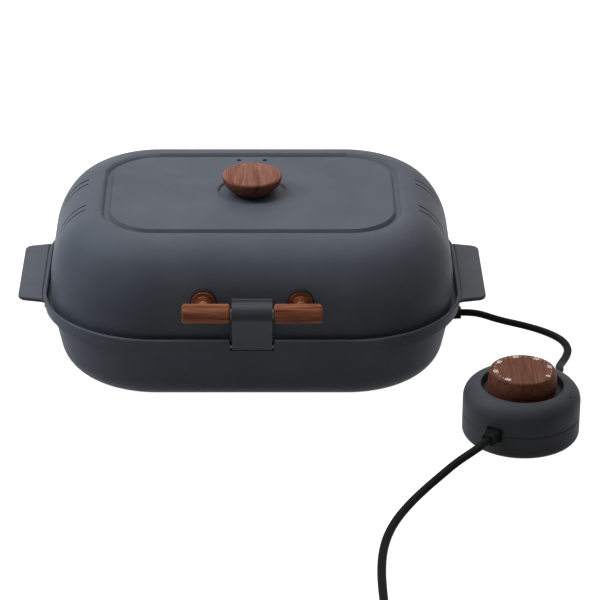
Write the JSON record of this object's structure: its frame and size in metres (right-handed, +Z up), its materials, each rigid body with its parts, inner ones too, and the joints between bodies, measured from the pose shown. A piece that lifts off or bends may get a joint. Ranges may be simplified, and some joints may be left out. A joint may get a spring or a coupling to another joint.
{
  "type": "clamshell roasting appliance",
  "caption": "Tabletop roaster for long root vegetables: domed hinged lid with walnut handles over a heated pan, front latch, and a round timer with a turning dial on the cord.",
  "frame": {"origin": "on the surface the feet stand on, under the middle of the roaster's outline, from the latch to the rear hinges", "axes": "+X to the right across the roaster's length, +Y to the rear hinges, +Z up; the latch and the bar handle face -Y"},
  "size_m": [0.4661, 0.8282, 0.155],
  "materials": {
    "shell_charcoal": "charcoal heat-resistant plastic with a fine matt texture",
    "timer_charcoal": "charcoal plastic with a fine matt texture",
    "walnut": "oiled walnut",
    "cast_plate": "dark non-stick coating on a cast plate",
    "steel": "plain steel",
    "latch_metal": "dark satin enamel on sheet steel",
    "element_steel": "sheathed heating element, dulled by heat",
    "reflector_sheet": "bright aluminised sheet",
    "black_plastic": "fine matt black",
    "ceramic": "glazed ceramic, stands in as gloss",
    "rubber": "black rubber",
    "cord_sheath": "black flexible sheath",
    "blade_brass": "plain brass blades"
  },
  "bodies": {
    "base": {"base_pan": "shell_charcoal", "rim_frame": "shell_charcoal", "puck_upper_housing": "timer_charcoal", "puck_lower_housing": "timer_charcoal", "lower_plate": "cast_plate", "latch_pin": "steel", "hinge_pin_left": "steel", "hinge_pin_right": "steel", "base_screws": "steel", "base_hinge_screws": "steel", "puck_screws": "steel", "hinge_base_left": "steel", "hinge_base_right": "steel", "base_thermostat": "steel", "thermal_fuse": "steel", "lower_heater": "element_steel", "lower_reflector": "reflector_sheet", "plug_body": "black_plastic", "timer_module": "black_plastic", "base_terminal_block": "ceramic", "puck_terminal_block": "ceramic", "foot_front_left": "rubber", "foot_front_right": "rubber", "foot_rear_left": "rubber", "foot_rear_right": "rubber", "puck_feet": "rubber", "base_gland": "rubber", "puck_gland_mains": "rubber", "puck_gland_heater": "rubber", "cord_tie": "rubber", "heater_cord": "cord_sheath", "mains_cord": "cord_sheath", "mains_coil": "cord_sheath", "mains_tail": "cord_sheath", "base_wiring": "cord_sheath", "plug_blades": "blade_brass"},
    "lid": {"lid_shell": "shell_charcoal", "lid_ring": "steel", "lid_plate_screws": "steel", "upper_plate": "cast_plate", "upper_heater": "element_steel", "upper_reflector": "reflector_sheet", "top_knob": "walnut", "knob_neck": "black_plastic", "knob_screw": "steel", "handle_grip_left": "walnut", "handle_grip_right": "walnut", "handle_rod": "steel", "handle_post_left": "walnut", "handle_post_right": "walnut", "post_washer_left": "black_plastic", "post_washer_right": "black_plastic", "post_screws": "steel", "hinge_lid_left": "steel", "hinge_lid_right": "steel", "lid_hinge_screws": "steel"},
    "latch": {"latch_clip": "latch_metal"},
    "dial": {"timer_dial": "walnut", "dial_hub": "black_plastic", "timer_shaft": "steel"}
  },
  "joints": [
    {"name": "lid_hinge", "type": "hinge", "parent": "base", "child": "lid", "pos_m": [0, 0.14555, 0.071], "axis": [-1, 0, 0], "range_deg": [0, 100]},
    {"name": "latch_pivot", "type": "hinge", "parent": "base", "child": "latch", "pos_m": [0, -0.12575, 0.0605], "axis": [1, 0, 0], "range_deg": [0, 105]},
    {"name": "dial_turn", "type": "hinge", "parent": "base", "child": "dial", "pos_m": [0.2157, -0.16395, 0.05], "axis": [0, 0, -1], "range_deg": [0, 264]}
  ]
}
